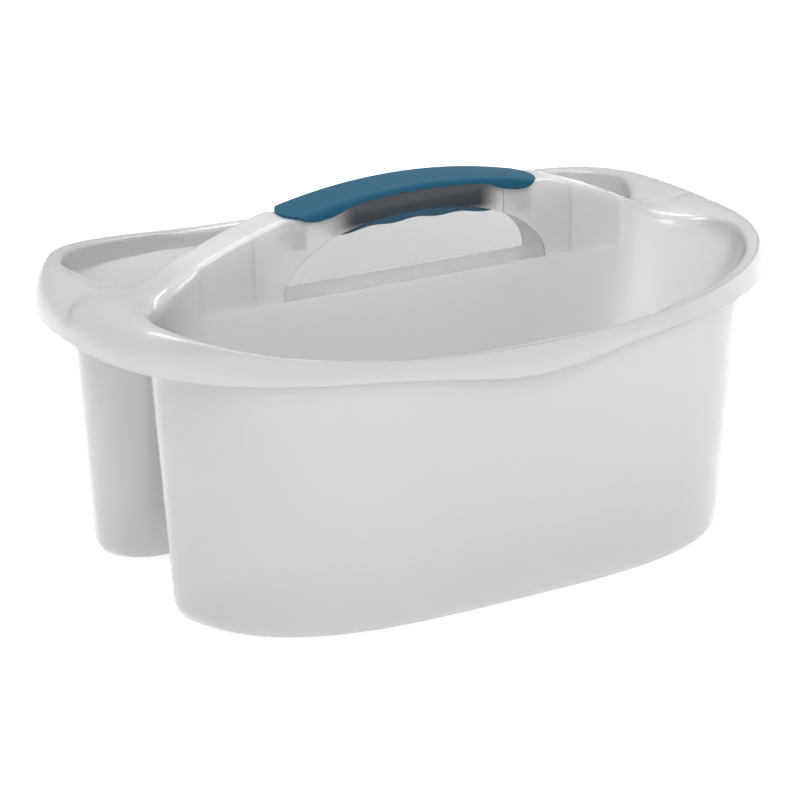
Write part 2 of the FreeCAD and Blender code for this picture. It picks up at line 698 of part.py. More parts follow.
def cover_profile(body, name, top_radius, skirt_radius, tab_radius, half):
    """A closed band over the handle: an arched top, and a lower edge that is deeper towards its ends."""
    out = Outline(body, name, "XZ_Plane")
    inner = TAB_START
    ramp = f"({inner} - Sizes.cover_tab)"
    centre = (0, out.value(HANDLE_CENTRE))
    up = math.pi / 2
    spread = math.asin(out.value(half) / out.value(top_radius))
    top = out.arc(centre, top_radius, up - spread, up + spread)
    skirt_spread = math.asin(out.value(ramp) / out.value(skirt_radius))
    skirt = out.arc(centre, skirt_radius, up - skirt_spread, up + skirt_spread)
    tab_start, tab_end = (math.asin(out.value(x) / out.value(tab_radius)) for x in (inner, half))
    right = out.arc(centre, tab_radius, up - tab_end, up - tab_start)
    left = out.arc(centre, tab_radius, up + tab_start, up + tab_end)
    for arc in (top, skirt, right, left):
        out.place(arc, 3, "0", HANDLE_CENTRE)
    points = (
        (top, 1, half), (top, 2, f"-{half}"), (skirt, 1, ramp), (skirt, 2, f"-{ramp}"),
        (right, 1, half), (right, 2, inner), (left, 1, f"-{inner}"), (left, 2, f"-{half}"),
    )
    for arc, end, x in points:
        out.place(arc, end, x)
    top_end, tab_out = on_arc(top_radius, half), on_arc(tab_radius, half)
    tab_in, ramp_end = on_arc(tab_radius, inner), on_arc(skirt_radius, ramp)
    links = (
        ((half, top_end), (half, tab_out), top, 1, right, 1),
        ((inner, tab_in), (ramp, ramp_end), right, 2, skirt, 1),
        ((f"-{ramp}", ramp_end), (f"-{inner}", tab_in), skirt, 2, left, 1),
        ((f"-{half}", tab_out), (f"-{half}", top_end), left, 2, top, 2),
    )
    for start, end, arc, arc_end, following, following_end in links:
        line = out.line(start, end)
        out.join("Coincident", arc, arc_end, line, 1)
        out.join("Coincident", line, 2, following, following_end)
    return out.sketch


def snap_legs(body):
    """Four barbed legs that hang from the cover and hook under the handle's roof."""
    barb = f"({on_arc(ROOF_RADIUS, LEG_PLACE + ' + Sizes.leg_length / 2')} - Sizes.clearance)"
    tip = f"({barb} - Sizes.leg_drop)"
    out = Outline(body, "LegProfile", "YZ_Plane", LEG_PLACE)
    inside = "(Sizes.leg_half_spacing - Sizes.leg_width / 2)"
    outside = "(Sizes.leg_half_spacing + Sizes.leg_width / 2)"
    catch = f"({outside} + Sizes.leg_barb)"
    top = f"({on_arc(SEAT_RADIUS, LEG_START)} + Sizes.wall / 2)"
    for side in ("", "-"):
        corners = [
            (f"{side}{inside}", tip),
            (f"{side}{outside}", tip),
            (f"{side}{catch}", f"({barb} - 2 * Sizes.leg_barb)"),
            (f"{side}{catch}", barb),
            (f"{side}{outside}", barb),
            (f"{side}{outside}", top),
            (f"{side}{inside}", top),
        ]
        out.polygon(corners)
    legs = pad(body, "Legs", out.sketch, "Sizes.leg_length")
    mirror = body.newObject("PartDesign::Mirrored", "LegMirror")
    mirror.Originals = [legs]
    mirror.MirrorPlane = (origin_plane(body, "YZ_Plane"), [""])
    body.Tip = mirror
    body.Document.recompute()


def make_cover(doc):
    """The grip cover: an arched, crowned shell with side skirts, tabs and snap legs."""
    body = new_body(doc, "grip_cover")
    half = "Sizes.cover_half_length"
    skirt = f"({HANDLE_RADIUS} - Sizes.cover_skirt)"
    tab = f"({HANDLE_RADIUS} - Sizes.cover_tab)"
    outer = cover_profile(body, "CoverProfile", HANDLE_RADIUS, skirt, tab, half)
    solid = pad(body, "CoverPad", outer, "2 * Sizes.cover_half_width")
    width = size(doc, "Sizes.cover_half_width")
    ends = size(doc, half)

    tab_tip = size(doc, on_arc(tab, half))
    crest = size(doc, TOP)

    def at_tab_tip(point):
        return abs(abs(point.x) - ends) < TOUCH and abs(point.z - tab_tip) < TOUCH

    def on_side(point):
        return abs(abs(point.y) - width) < TOUCH

    rounded = fillet(body, "EndRound", solid, edges_where(solid, at_tab_tip), "Sizes.cover_tab_round")
    sides = edges_where(rounded, on_side)
    tops = [name for name in sides if abs(rounded.Shape.getElement(name).BoundBox.ZMax - crest) < TOUCH]
    fillet(body, "Crown", rounded, tops, "Sizes.cover_skirt / 2")
    inner = Outline(body, "CoverSpace", "XZ_Plane")
    under = f"({SEAT_RADIUS} + Sizes.clearance / 2)"
    reach = f"({half} + Sizes.wall)"
    spread = math.asin(inner.value(reach) / inner.value(under))
    up = math.pi / 2
    arc = inner.arc((0, inner.value(HANDLE_CENTRE)), under, up - spread, up + spread)
    inner.place(arc, 3, "0", HANDLE_CENTRE)
    inner.place(arc, 1, reach)
    inner.place(arc, 2, f"-{reach}")
    level = on_arc(under, reach)
    floor = "Sizes.ledge_height"
    start = (arc, 1, (reach, level))
    finish = (arc, 2, (f"-{reach}", level))
    close_with_lines(inner, start, finish, [(f"-{reach}", floor), (reach, floor)])
    space = "2 * (Sizes.channel_top_half_width + Sizes.clearance)"
    pocket(body, "CoverHollow", inner.sketch, space)
    snap_legs(body)
    return body


def insert_profile(body, name, radius, half, low, finger_count):
    """The insert's long profile: an arched top and an underside scalloped for the fingers."""
    out = Outline(body, name, "XZ_Plane")
    up = math.pi / 2
    spread = math.asin(out.value(half) / out.value(radius))
    top = out.arc((0, out.value(HANDLE_CENTRE)), radius, up - spread, up + spread)
    out.place(top, 3, "0", HANDLE_CENTRE)
    out.place(top, 1, half)
    out.place(top, 2, f"-{half}")
    places = [f"({k - finger_count / 2} * Sizes.finger_pitch)" for k in range(finger_count + 1)]
    heights = [f"({low} - Sizes.insert_floor_drop * ({x} / {half})^2)" for x in places]
    scoop = arc_radius("Sizes.finger_pitch / 2", "2 * Sizes.finger_wave")
    r = out.value(scoop)
    scoops = []
    for (xa, za), (xb, zb) in zip(zip(places, heights), zip(places[1:], heights[1:])):
        ax, az, bx, bz = map(out.value, (xa, za, xb, zb))
        chord = math.hypot(bx - ax, bz - az)
        middle = ((ax + bx) / 2, (az + bz) / 2)
        drop = math.sqrt(r**2 - chord**2 / 4)
        centre = (middle[0] + (bz - az) / chord * drop, middle[1] - (bx - ax) / chord * drop)
        arc = out.arc(centre, scoop, bearing(centre, (bx, bz)), bearing(centre, (ax, az)))
        out.place(arc, 2, xa, za)
        scoops.append(arc)
    for arc, following in zip(scoops, scoops[1:]):
        out.join("Coincident", arc, 1, following, 2)
    out.place(scoops[-1], 1, places[-1], heights[-1])
    foot = f"({low} - Sizes.insert_floor_drop)"
    top_end = on_arc(radius, half)
    start = (top, 1, (half, top_end))
    finish = (scoops[-1], 1, (places[-1], heights[-1]))
    close_with_lines(out, start, finish, [(half, foot)])
    other = (scoops[0], 2, (places[0], heights[0]))
    close_with_lines(out, other, (top, 2, (f"-{half}", top_end)), [(f"-{half}", foot)])
    return out.sketch


def make_insert(doc):
    """The finger grip: a trough under the handle's arch, with posts that reach the cover."""
    body = new_body(doc, "finger_grip")
    roof = f"({ROOF_RADIUS} - Sizes.clearance)"
    half = "Sizes.insert_half_length"
    low = f"({INSERT_FLOOR} - 2 * Sizes.finger_wave)"
    outer = insert_profile(body, "InsertProfile", roof, half, low, FINGERS)
    outer_half = f"({HOLLOW_HALF} - Sizes.clearance)"
    pad(body, "InsertPad", outer, f"2 * {outer_half}")
    trough = Outline(body, "TroughProfile", "XZ_Plane")
    inner = f"({half} - Sizes.insert_wall)"
    floor = f"({INSERT_FLOOR} + Sizes.insert_wall)"
    trough.polygon([(f"-{inner}", floor), (inner, floor), (inner, TOP), (f"-{inner}", TOP)])
    pocket(body, "Trough", trough.sketch, f"2 * ({outer_half} - Sizes.insert_wall)")
    under_cover = f"({on_arc(SEAT_RADIUS, 'Sizes.post_place + Sizes.post_radius')})"
    for side in (-1, 1):
        post = body.newObject("PartDesign::AdditiveCylinder", f"Post{'LR'[side > 0]}")
        post.setExpression("Radius", "Sizes.post_radius")
        post.setExpression("Height", f"{under_cover} - {floor} + Sizes.insert_wall / 2")
        post.AttachmentSupport = (origin_plane(body, "XY_Plane"), [""])
        post.MapMode = "FlatFace"
        post.setExpression("AttachmentOffset.Base.x", f"{side} * Sizes.post_place")
        post.setExpression("AttachmentOffset.Base.z", f"{floor} - Sizes.insert_wall / 2")
        doc.recompute()
    return body


def check(doc, parts):
    """Stop if any object failed, or any piece is not one sound solid."""
    for item in doc.Objects:
        if {"Invalid", "Error"} & set(item.State):
            raise RuntimeError(f"{item.Label} failed: {item.State}")
        if item.TypeId == "Sketcher::SketchObject" and item.solve():
            raise RuntimeError(f"{item.Label} is not solved")
    for part in parts:
        shape = part.Shape
        if shape.isNull() or not shape.isValid() or len(shape.Solids) != 1:
            raise RuntimeError(f"{part.Label} is not one sound solid")
        print(part.Label, "volume", round(shape.Volume / 1000, 2), "cm3")


def main():
    doc = FreeCAD.newDocument("CleaningCaddy")
    make_sheet(doc)
    parts = [make_tub(doc), make_cover(doc), make_insert(doc)]
    doc.recompute()
    check(doc, parts)
    os.makedirs("parts", exist_ok=True)
    for part in parts:
        part.Shape.exportStep(f"parts/{part.Label}.step")


main()
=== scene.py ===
import math

import bmesh
import bpy
from bpy.props import FloatProperty, FloatVectorProperty, PointerProperty
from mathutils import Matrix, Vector


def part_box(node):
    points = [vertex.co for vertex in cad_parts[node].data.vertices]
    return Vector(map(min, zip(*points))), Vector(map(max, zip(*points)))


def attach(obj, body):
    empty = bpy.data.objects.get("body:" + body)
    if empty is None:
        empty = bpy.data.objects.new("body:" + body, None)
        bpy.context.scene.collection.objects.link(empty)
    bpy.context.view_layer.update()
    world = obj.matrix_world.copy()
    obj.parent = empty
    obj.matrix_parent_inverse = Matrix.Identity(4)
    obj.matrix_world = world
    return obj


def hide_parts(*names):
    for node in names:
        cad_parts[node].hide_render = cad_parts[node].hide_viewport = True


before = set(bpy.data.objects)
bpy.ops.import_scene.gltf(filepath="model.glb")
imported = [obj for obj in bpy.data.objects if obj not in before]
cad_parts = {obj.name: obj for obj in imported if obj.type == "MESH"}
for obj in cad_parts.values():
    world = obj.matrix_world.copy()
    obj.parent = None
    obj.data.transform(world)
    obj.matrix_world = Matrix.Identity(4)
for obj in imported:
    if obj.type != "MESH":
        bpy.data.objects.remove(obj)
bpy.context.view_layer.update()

bl_info = {
    "name": "Cleaning caddy",
    "version": (1, 0, 0),
    "blender": (4, 5, 0),
    "location": "View3D > Sidebar > Caddy",
    "description": "A divided translucent tub with an arched handle and a soft grip",
    "category": "Add Mesh",
}

TUB_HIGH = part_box("tub")[1]
COVER_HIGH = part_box("grip_cover")[1]
INSERT_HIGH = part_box("finger_grip")[1]
MM = 0.001

# How many steps an outline takes along the divider, round an inner corner and round the
# oval, and how many a rounded edge and the skirt take across.
FLAT_STEPS = 30
CORNER_STEPS = 9
SIDE_STEPS = 48
ROUND_STEPS = 4
SKIRT_STEPS = 6
# How far a smooth curve's handles reach, as a share of the radius, to bend as a quarter arc does.
QUARTER_ARC = 0.5523


def length(description, default):
    """A size in metres that shows in the sidebar."""
    return FloatProperty(description=description, default=default, unit="LENGTH", precision=4)


def amount(description, default):
    """A plain number that shows in the sidebar."""
    return FloatProperty(description=description, default=default, precision=3)


def colour(description, default):
    """A colour that shows in the sidebar."""
    return FloatVectorProperty(
        description=description, default=default, subtype="COLOR", size=3, min=0, max=1
    )


class CaddyTubSizes(bpy.types.PropertyGroup):
    """Sizes of the tub: compartments, rim, divider and handle."""

    wall: length("Thickness of the moulding", 2 * MM)
    rim_half_length: length("Middle to the skirt's edge at an end", TUB_HIGH.x)
    rim_half_width: length("Middle to the skirt's edge at a side", 136 * MM)
    rim_power: amount("Squareness of the skirt's outline", 2.67)
    rim_low: length("Height of the skirt's edge beside its dips", 142.4 * MM)
    rim_end_rise: length("How much higher the skirt's edge is at the ends", 4 * MM)
    rim_dip: length("Depth of the skirt's dip at the middle of a side", 9.9 * MM)
    rim_dip_width: length("Half width of that dip", 56 * MM)
    crest_half_length: length("Middle to the rim's end crest", 189.6 * MM)
    crest_half_width: length("Middle to the rim's crest at a side", 135.1 * MM)
    crest_power: amount("Squareness of the crest's outline", 3.17)
    crest_middle: length("Height of the crest at the middle", 150.4 * MM)
    crest_rise: length("How much higher the crest is at the ends", 19 * MM)
    crest_arch: amount("Power of the crest's rise along the tub", 2.33)
    crest_ridge: length("Width of the rounded ridge on the rim", 5.4 * MM)
    crest_round: length("Rounding of the ridge along the sides", 2.5 * MM)
    crest_round_end: length("Rounding of the crest at the ends", 9 * MM)
    neck_half_length: length("Wells' outer half length, neck", 179 * MM)
    neck_half_width: length("Wells' outer half width, neck", 128.6 * MM)
    neck_height: length("Height where the wells start to flare", 136 * MM)
    floor_half_length: length("Wells' outer half length, floor", 171.4 * MM)
    floor_half_width: length("Wells' outer half width, floor", 124.5 * MM)
    well_power: amount("Squareness of the wells' outline", 3.3)
    channel_low: length("Half width of the channel at the floor", 24 * MM)
    channel_top: length("Half width of the channel at the neck", 12 * MM)
    corner_low: length("Inner corner radius of a well at the floor", 27 * MM)
    corner_top: length("Inner corner radius of a well at the neck", 38 * MM)
    corner_mouth: length("Inner corner radius of a well at its mouth", 45 * MM)
    mouth_round: length("Rounding where a well meets the landing", 12.5 * MM)
    foot_round: length("Outside rounding between wall and floor", 7 * MM)
    foot_width: length("Width of the ring that the tub stands on", 9 * MM)
    foot_rise: length("How far the floor is raised inside that ring", 1 * MM)
    handle_top: length("Height of the grip's top", 205.5 * MM)
    handle_radius: length("Radius of the handle's arch", 330 * MM)
    handle_merge: length("Softness where the handle runs into the landing", 3 * MM)
    handle_round: length("Rounding of the handle's top edges", 3.6 * MM)
    panel_half_length: length("Middle to the side panels' ends", 132.5 * MM)
    panel_step: length("How far the panels stand in from the divider", 2 * MM)
    ledge_height: length("Height of the ledge below the panels", 150 * MM)
    seat_half_length: length("Half length of the cover's seat", 80 * MM)
    seat_depth: length("Depth of the seat for the grip cover", 2.2 * MM)
    hand_half_length: length("Half length of the hand opening", 83 * MM)
    hand_rise: length("Height of the hand opening above the ledge", 39 * MM)
    recess_half_length: length("Half length of the side recess", 55 * MM)
    recess_depth: length("Depth of the shallow recess below the grip", 0.8 * MM)
    rib_place: length("Middle to each upright rib inside the handle", 100 * MM)
    rib_wall: length("Thickness of those ribs", 1.8 * MM)


class CaddyGripSizes(bpy.types.PropertyGroup):
    """Sizes of the grip cover and the finger insert."""

    cover_half_length: length("Half length of the grip cover", COVER_HIGH.x)
    cover_half_width: length("Half width of the grip cover", COVER_HIGH.y)
    cover_wall: length("Thickness of the grip cover", 1.9 * MM)
    cover_skirt: length("Depth of the cover's sides at the middle", 4.6 * MM)
    cover_tab: length("Depth of the cover's sides near the ends", 7.4 * MM)
    tab_start: length("Middle to where the sides begin to deepen", 43 * MM)
    tab_full: length("Middle to where the sides are deepest", 60 * MM)
    tab_round: length("Length of the tabs' rounded outer corners", 15 * MM)
    cover_bow: length("How much shorter the cover's sides are than its middle", 7 * MM)
    cover_round: length("Rounding between the cover's top and sides", 3.4 * MM)
    cover_crown: length("Crown across the cover's top", 0.7 * MM)
    leg_place: length("Middle to each pair of snap legs", 71 * MM)
    leg_spacing: length("Middle to each leg across the handle", 6.5 * MM)
    leg_length: length("Length of a leg along the handle", 8 * MM)
    leg_width: length("Thickness of a leg", 2 * MM)
    leg_low: length("Height of the legs' tips", 176 * MM)
    leg_barb: length("How far a barb stands out", 1.2 * MM)
    insert_half_length: length("Half length of the insert", INSERT_HIGH.x)
    insert_half_width: length("Half width of the finger insert", INSERT_HIGH.y)
    insert_wall: length("Thickness of the finger insert", 2.4 * MM)
    insert_low: length("Height of the insert's underside at the middle", 183.6 * MM)
    insert_drop: length("How much lower the underside is at the ends", 3 * MM)
    finger_pitch: length("Distance between the finger scallops", 28 * MM)
    finger_depth: length("Half the depth of the scallops", 0.6 * MM)
    post_place: length("Middle to each post of the insert", 30 * MM)
    post_radius: length("Radius of the insert's posts", 3 * MM)


class CaddyFinishes(bpy.types.PropertyGroup):
    """Colours and gloss of the plastics, with painted light and painted shade on the tub."""

    tub_colour: colour("Colour of the translucent plastic", (0.7, 0.703, 0.71))
    # Painted light: the divider's walls and the handle are made paler than the rest of the tub, to
    # brighten walls that lie in the wells' shade.
    divider_painted_light: colour("Colour near the divider", (0.9, 0.9, 0.9))
    # Painted shade: the set-in panels are a little darker and warmer than the divider round them,
    # standing in for the shade of the hollow between their walls.
    panel_painted_shade: colour("Colour of the set-in panels", (0.86, 0.848, 0.84))
    # Painted shade: near-black blue below the grip, standing in for the insert seen through the
    # wall and the shade under the cover.
    shade_colour: colour("Colour where the insert is behind", (0.004, 0.024, 0.045))
    tub_clarity: amount("How much light passes through the wall", 0.62)
    tub_frost: amount("How much the wall blurs what is behind it", 0.4)
    cover_colour: colour("Colour of the soft grip cover", (0.005, 0.069, 0.124))
    insert_colour: colour("Colour of the finger insert", (0.012, 0.066, 0.12))


class CaddyStageSettings(bpy.types.PropertyGroup):
    """The camera and the light."""

    azimuth: FloatProperty(
        description="Camera's bearing round the caddy",
        default=math.radians(-30.23), unit="ROTATION",
    )
    elevation: FloatProperty(
        description="Camera's angle above the floor",
        default=math.radians(20.24), unit="ROTATION",
    )
    distance: length("Camera to the point it looks at", 1.538)
    lens: amount("Focal length in millimetres on a 36 mm sensor", 123.8)
    target: FloatVectorProperty(
        description="Point the camera looks at",
        default=(-0.0045, 0, 0.0761), subtype="XYZ", unit="LENGTH",
    )
    daylight: amount("Brightness of the room around the caddy", 0.57)


# ---------------------------------------------------------------- outlines


def eased(share):
    """A share from 0 to 1 that starts and ends gently."""
    share = min(1, max(0, share))
    return share * share * (3 - 2 * share)


def mix(a, b, share):
    """A value that share of the way from a to b."""
    return a + (b - a) * share


def rounded_oval(half_length, half_width, power, angle):
    """A point of a squarish oval, for an angle from 0 at its right end to pi at its left end."""
    across, along = math.sin(angle), math.cos(angle)
    x = math.copysign(half_length * abs(along) ** (2 / power), along)
    return Vector((x, half_width * abs(across) ** (2 / power)))


def start_angle(half_width, power, y):
    """The angle at which the oval has come as far across as y."""
    return math.asin((y / half_width) ** (power / 2))


def evenly(curve, start, end, steps):
    """Points evenly spaced along a curve, its ends included."""
    fine = 40 * steps
    points = [curve(mix(start, end, k / fine)) for k in range(fine + 1)]
    travelled = [0]
    for a, b in zip(points, points[1:]):
        travelled.append(travelled[-1] + (b - a).length)
    found = []
    k = 0
    for step in range(steps + 1):
        goal = travelled[-1] * step / steps
        while k < fine - 1 and travelled[k + 1] < goal:
            k += 1
        share = (goal - travelled[k]) / (travelled[k + 1] - travelled[k])
        found.append(points[k].lerp(points[k + 1], share))
    return found


def flat_places(tub):
    """Places along the divider, closer together at the panels' ends and at the seat's ends."""
    panel_edge, seat_edge, clear = 1 * MM, 0.6 * MM, 3 * MM
    reach = tub.panel_half_length - panel_edge
    regular = [mix(-reach, reach, k / FLAT_STEPS) for k in range(FLAT_STEPS + 1)]
    seat = [
        side * (tub.seat_half_length + shift)
        for side in (-1, 1) for shift in (-seat_edge, seat_edge)
    ]
    regular = [x for x in regular if all(abs(x - place) > clear for place in seat)]
    ends = [-tub.panel_half_length - panel_edge, tub.panel_half_length + panel_edge]
    return sorted(regular + seat + ends)


def curve_through(ends, share):
    """A point of the smooth curve that leaves a towards b and reaches d from c."""
    a, b, c, d = ends
    rest = 1 - share
    return rest**3 * a + 3 * rest**2 * share * b + 3 * rest * share**2 * c + share**3 * d


def well_outline(tub, half_length, half_width, power, gap, corner):
    """The D-shaped outline of a well: along the divider, then round the oval and back."""
    def oval(angle):
        return rounded_oval(half_length, half_width, power, angle)

    angle = start_angle(half_width, power, gap + corner)
    start = oval(angle)
    inner = start.x - corner
    flat = [Vector((x, gap)) for x in [-inner, *flat_places(tub), inner]]
    pull = corner * QUARTER_ARC
    ends = Vector((inner, gap)), Vector((inner + pull, gap)), start - Vector((0, pull)), start

    def bend(share):
        return curve_through(ends, share)

    right = evenly(bend, 0, 1, CORNER_STEPS + 1)[1:-1]
    left = [Vector((-point.x, point.y)) for point in reversed(right)]
    return flat + right + evenly(oval, angle, math.pi - angle, SIDE_STEPS) + left


def crest_outline(tub, mouth):
    """What each column of the wall runs up to: the handle's middle line, or the rim's crest."""
    half = CORNER_STEPS // 2

    def oval(angle):
        return rounded_oval(tub.crest_half_length, tub.crest_half_width, tub.crest_power, angle)

    flat_count = len(flat_places(tub)) + 2
    flat = [Vector((point.x, 0)) for point in mouth[:flat_count]]
    angle = start_angle(tub.crest_half_width, tub.crest_power, mouth[flat_count + CORNER_STEPS].y)
    first = flat[-1].x
    middle = [
        Vector((mix(first, tub.crest_half_length, (k + 1) / (half + 1)), 0))
        for k in range(half + 1)
    ]
    right = middle + evenly(oval, 0, angle, half + 1)[1:-1]
    left = [Vector((-point.x, point.y)) for point in reversed(right)]
    return flat + right + evenly(oval, angle, math.pi - angle, SIDE_STEPS) + left


def crest_height(tub, x):
    """Height of the rim's crest, which rises towards the ends."""
    return tub.crest_middle + tub.crest_rise * abs(x / tub.crest_half_length) ** tub.crest_arch


def handle_height(tub, x):
    """Height of the handle's arch, with the grip on it."""
    return tub.handle_top - tub.handle_radius + math.sqrt(tub.handle_radius**2 - x**2)


def top_height(tub, x, y):
    """Height of the handle, or of the landing it runs into."""
    over = handle_height(tub, x) - crest_height(tub, x)
    over = (over + math.hypot(over, tub.handle_merge)) / 2
    side = tub.channel_top + tub.wall
    fade = 1 - eased((y - side) / side)
    seat = tub.seat_depth if abs(x) < tub.seat_half_length else 0
    return crest_height(tub, x) + over * fade - seat


def skirt_edge(tub, point):
    """The skirt's lower edge below a point of the crest."""
    x = point.x / tub.crest_half_length
    y = point.y / tub.crest_half_width
    angle = math.atan2(
        max(y, 0) ** (tub.crest_power / 2), math.copysign(abs(x) ** (tub.crest_power / 2), x)
    )
    edge = rounded_oval(tub.rim_half_length, tub.rim_half_width, tub.rim_power, angle)
    dip = tub.rim_dip * math.exp(-((edge.x / tub.rim_dip_width) ** 2))
    height = tub.rim_low + tub.rim_end_rise * (edge.x / tub.rim_half_length) ** 2 - dip
    return Vector((*edge, height))


# ---------------------------------------------------------------- the tub's wall, ring by ring


def lower_rings(tub):
    """The inside of a well, from its floor up to the neck."""
    def outline(share, inset):
        return well_outline(
            tub,
            mix(tub.floor_half_length, tub.neck_half_length, share) - tub.wall - inset,
            mix(tub.floor_half_width, tub.neck_half_width, share) - tub.wall - inset,
            tub.well_power,
            mix(tub.channel_low, tub.channel_top, share) + tub.wall + inset,
            mix(tub.corner_low, tub.corner_top, share) - tub.wall - inset / 2,
        )

    def level(points, height):
        return [Vector((point.x, point.y, height)) for point in points]

    inside_round = tub.foot_round - tub.wall
    floor = tub.wall + tub.foot_rise
    edge = outline(0, inside_round)
    middle = (tub.floor_half_width + tub.channel_low) / 2
    half_width = (tub.floor_half_width - tub.channel_low) / 2

    def shrunk(inset):
        x_share, y_share = 1 - inset / tub.floor_half_length, 1 - inset / half_width
        return [
            Vector((point.x * x_share, middle + (point.y - middle) * y_share)) for point in edge
        ]

    rings = [
        level(shrunk(2 * tub.foot_width), floor),
        level(shrunk(tub.foot_width), floor),
        level(shrunk(tub.foot_width - 2 * tub.foot_rise), tub.wall),
    ]
    for angle in (0, 30, 60, 90):
        turn = math.radians(angle)
        inset = inside_round * (1 - math.sin(turn))
        rings.append(level(outline(0, inset), tub.wall + inside_round * (1 - math.cos(turn))))
    for share in (0.12, 0.4, 0.7, 1):
        rings.append(level(outline(share, 0), mix(tub.foot_round, tub.neck_height, share)))
    return rings


def rim_shares(flat_count):
    """How far each column is on its way from the divider, 0, to the rim's side, 1."""
    right = [
        eased((k + 1 - CORNER_STEPS / 3) / (CORNER_STEPS * 2 / 3)) for k in range(CORNER_STEPS)
    ]
    return [0] * flat_count + right + [1] * (SIDE_STEPS + 1) + right[::-1]


def wall_column(tub, low, corner, wall_y, on_flat, on_panel):
    """Four points of a column between the neck and the mouth; a panel stands in above the ledge."""
    rise = corner.z - low.z
    if on_flat:
        edge = 0.8 * MM / rise
        ledge = (tub.ledge_height - low.z) / rise
        below, above = ledge - edge, ledge + edge
    else:
        below, above = 0.4, 0.45
    top = Vector((corner.x, wall_y, corner.z))
    face = corner.y if on_panel else None
    heights = above, mix(above, 1, 0.2), mix(above, 1, 0.45)
    return [low.lerp(top, below), *(moved(low.lerp(top, share), face) for share in heights)]


def top_setback(tub, x, side):
    """How far the rounding between wall and top reaches, at the handle, the landing and the rim."""
    landing_start, landing_length = 128 * MM, 30 * MM
    landing = eased((abs(x) - landing_start) / landing_length)
    return mix(mix(tub.handle_round, tub.mouth_round, landing), tub.crest_round, side)


def rim_rounding(tub, y):
    """Rounding of the crest: large at the tub's ends, small along its sides."""
    end_width, change = 30 * MM, 40 * MM
    return mix(tub.crest_round_end, tub.crest_round, eased((y - end_width) / change))


def upper_rings(tub, neck):
    """From the neck over the mouth to the handle's middle line and crest, then down the skirt."""
    mouth = well_outline(
        tub,
        tub.crest_half_length - tub.crest_ridge,
        tub.crest_half_width - tub.crest_ridge,
        tub.crest_power,
        tub.channel_top + tub.wall,
        tub.corner_mouth,
    )
    crest = crest_outline(tub, mouth)
    flat_count = len(flat_places(tub)) + 2
    half = CORNER_STEPS // 2
    first_rim, last_rim = flat_count + half, len(mouth) - 1 - half
    wall_rings = [[] for _ in range(4)]
    over_rings = [[] for _ in range(ROUND_STEPS + 4)]
    skirt_rings = [[] for _ in range(SKIRT_STEPS + 2)]
    columns = zip(neck, mouth, crest, rim_shares(flat_count))
    for column, (low, mouth_point, crest_point, side) in enumerate(columns):
        on_flat = column < flat_count
        on_panel = on_flat and abs(mouth_point.x) < tub.panel_half_length
        on_rim = first_rim <= column <= last_rim
        corner = Vector((
            mouth_point.x,
            mouth_point.y - (tub.panel_step if on_panel else 0),
            top_height(tub, mouth_point.x, mouth_point.y),
        ))
        wall = wall_column(tub, low, corner, mouth_point.y, on_flat, on_panel)
        for ring, point in zip(wall_rings, wall):
            ring.append(point)
        up = (corner - wall[-1]).normalized()
        if on_rim:
            goal = Vector((*crest_point, crest_height(tub, crest_point.x)))
            edge = skirt_edge(tub, crest_point)
            inward = (goal - corner).normalized()
            outward = (skirt_section(goal, edge)(0.1) - goal).normalized()
            goal = goal + (inward - outward) * rim_rounding(tub, crest_point.y) / 4
        else:
            goal = Vector((*crest_point, top_height(tub, crest_point.x, 0)))
        over = (goal - corner).normalized()
        setback = top_setback(tub, corner.x, side)
        reach = min(setback, (0.6 if on_rim else 0.8) * (goal - corner).length)
        start = corner - up * min(setback, 0.8 * (corner - wall[-1]).length)
        end = corner + over * reach
        for k in range(ROUND_STEPS + 1):
            over_rings[k].append(bent(start, corner, end, k / ROUND_STEPS))
        if on_rim:
            size = rim_rounding(tub, crest_point.y)
            before = goal - over * min(size, 0.9 * (goal - end).length)
            section = skirt_section(goal, edge)
            share = at_distance(section, goal, size)
            after = section(share)
            ridge = [bent(before, goal, after, k / 4) for k in range(4)]
            skirt = [section(mix(share, 1, k / SKIRT_STEPS)) for k in range(SKIRT_STEPS + 1)]
        else:
            ridge = [end.lerp(goal, k / 3) for k in range(1, 4)] + [None]
            skirt = [None] * (SKIRT_STEPS + 1)
        for ring, point in zip([*over_rings[ROUND_STEPS + 1:], *skirt_rings], ridge + skirt):
            ring.append(point)
    return wall_rings, over_rings, skirt_rings, (first_rim, last_rim)


def moved(point, y):
    """A point, moved across to y if one is given."""
    return Vector((point.x, point.y if y is None else y, point.z))


def bent(start, corner, end, share):
    """A point of the smooth bend that rounds a corner."""
    return (1 - share) ** 2 * start + 2 * share * (1 - share) * corner + share**2 * end


def skirt_section(crest, edge):
    """The skirt's section: it leaves the crest outwards and ends straight down."""
    out = Vector((edge.x - crest.x, edge.y - crest.y, 0))
    drop = Vector((0, 0, crest.z - edge.z))
    ends = crest, crest + 0.7 * out - 0.14 * drop, edge + 0.45 * drop, edge

    def section(share):
        return curve_through(ends, share)

    return section


def at_distance(section, point, distance):
    """How far along a section it is that distance away from a point."""
    share = 0
    while share < 0.6 and (section(share) - point).length < distance:
        share += 0.01
    return share


# ---------------------------------------------------------------- hand work in edit mode


def deselect():
    if bpy.context.mode != "OBJECT":
        bpy.ops.object.mode_set(mode="OBJECT")
    bpy.ops.object.select_all(action="DESELECT")


def only(piece):
    """Make one piece the only selected and the active one."""
    deselect()
    piece.select_set(True)
    bpy.context.view_layer.objects.active = piece


def edit(piece):
    """Open a piece in edit mode with nothing selected, and return its mesh."""
    only(piece)
    bpy.ops.object.mode_set(mode="EDIT")
    bpy.ops.mesh.select_mode(type="VERT")
    bpy.ops.mesh.select_all(action="DESELECT")
    return bmesh.from_edit_mesh(piece.data)


